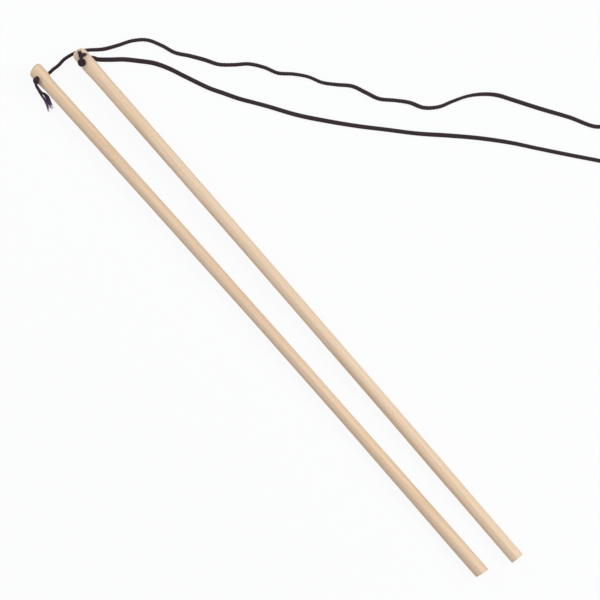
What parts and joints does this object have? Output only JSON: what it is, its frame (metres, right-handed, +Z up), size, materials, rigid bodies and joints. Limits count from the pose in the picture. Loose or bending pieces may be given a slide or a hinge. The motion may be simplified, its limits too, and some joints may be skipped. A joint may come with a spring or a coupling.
{
  "type": "diabolo hand sticks",
  "caption": "Pair of slim wooden hand sticks for a diabolo, each drilled across its rounded tip, joined by one black cord knotted at both holes.",
  "frame": {"origin": "on the surface the sticks lie on, under the middle of the pair", "axes": "+Y along the sticks towards their tips, +X across the pair to the right, +Z up"},
  "size_m": [0.2786, 0.4088, 0.017],
  "materials": {
    "wood": "bare sanded pale hardwood with a fine lengthwise grain",
    "cord": "black braided cord, dull, frayed at its two ends",
    "tie": "black plastic-covered twist tie"
  },
  "bodies": {
    "cord": {"left_lead": "cord", "right_lead": "cord", "cord_coil": "cord", "coil_tie": "tie"},
    "left_stick": {"left_stick": "wood", "left_knot": "cord", "left_tail": "cord"},
    "right_stick": {"right_stick": "wood", "right_knot": "cord", "right_tail": "cord"}
  },
  "joints": [
    {"name": "left_swivel", "type": "hinge", "parent": "cord", "child": "left_stick", "pos_m": [-0.0131, 0.19589, 0.00765], "axis": [-0.6018, -0.0109, 0.7986], "range_deg": [0, 180]},
    {"name": "right_swivel", "type": "hinge", "parent": "cord", "child": "right_stick", "pos_m": [0.0131, 0.18708, 0.00905], "axis": [-0.4384, -0.0091, 0.8987], "range_deg": [0, 180]}
  ]
}
